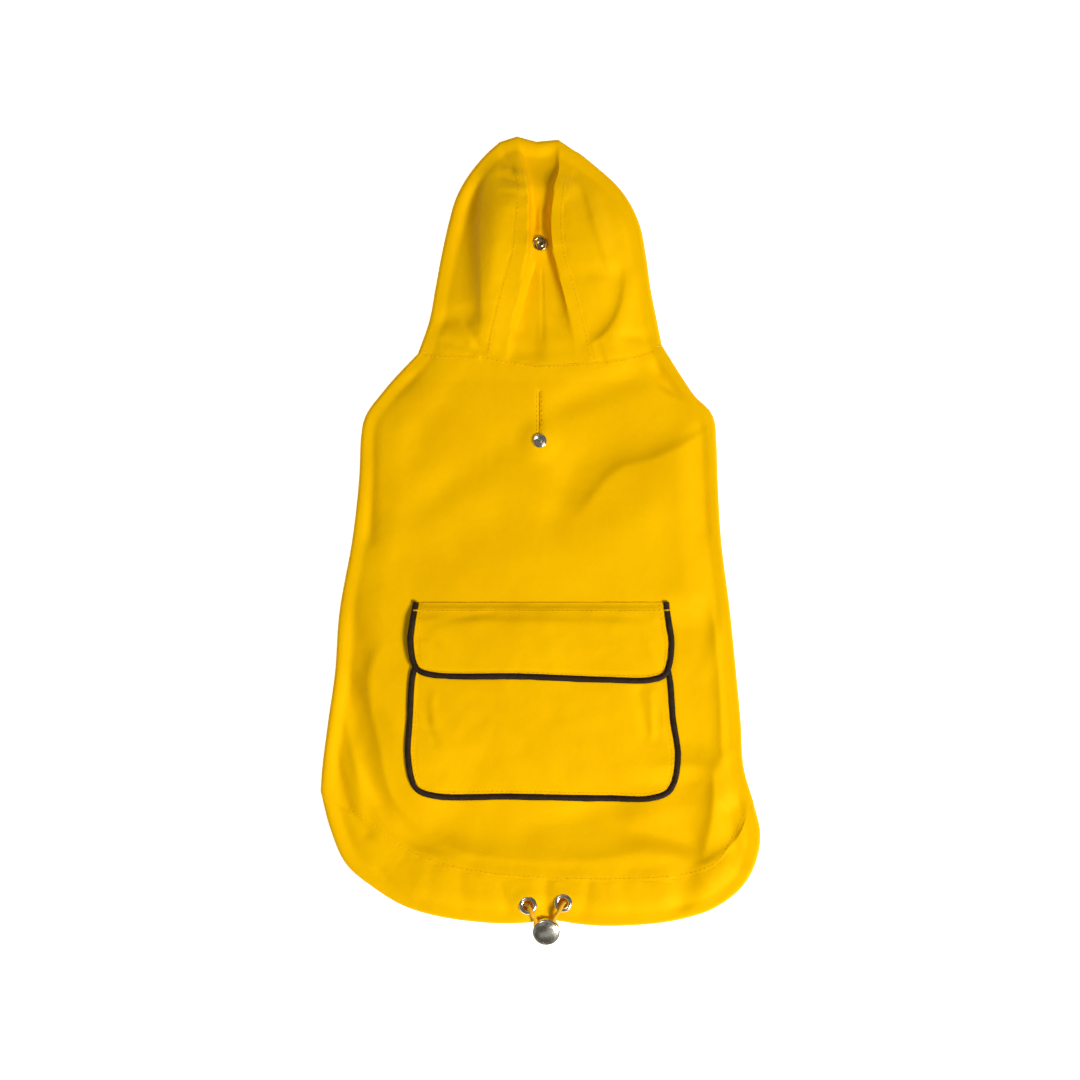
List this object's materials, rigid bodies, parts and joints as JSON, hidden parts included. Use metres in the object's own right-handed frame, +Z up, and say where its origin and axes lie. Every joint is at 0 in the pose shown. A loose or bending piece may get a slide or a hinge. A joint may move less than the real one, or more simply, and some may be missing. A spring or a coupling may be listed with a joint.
{
  "type": "dog raincoat laid flat",
  "caption": "Hooded dog raincoat of smooth coated cloth laid flat with its back up: pleated hood, leash slit, piped flap pocket and an elastic hem with a toggle.",
  "frame": {"origin": "middle of the footprint of the coat, on the surface that it lies on", "axes": "+Z up from that surface, +Y from the hem towards the hood, +X towards the right side of the coat seen from above"},
  "size_m": [0.2762, 0.5078, 0.0164],
  "materials": {
    "coated_cloth": "smooth coated cloth with a soft sheen",
    "piping": "near-black woven piping",
    "nickel": "polished nickel",
    "elastic": "braided round elastic"
  },
  "bodies": {
    "root": {"back_panel": "coated_cloth", "hem_band": "coated_cloth", "hood_left": "coated_cloth", "hood_centre": "coated_cloth", "hood_right": "coated_cloth", "chest_panel": "coated_cloth", "belly_strap": "coated_cloth", "pocket": "coated_cloth", "pocket_flap": "coated_cloth", "pocket_piping": "piping", "flap_piping": "piping", "stud_hood": "nickel", "stud_back": "nickel", "eyelet_left": "nickel", "eyelet_right": "nickel", "cord_left": "elastic", "cord_right": "elastic", "cord_toggle": "nickel"}
  },
  "joints": []
}
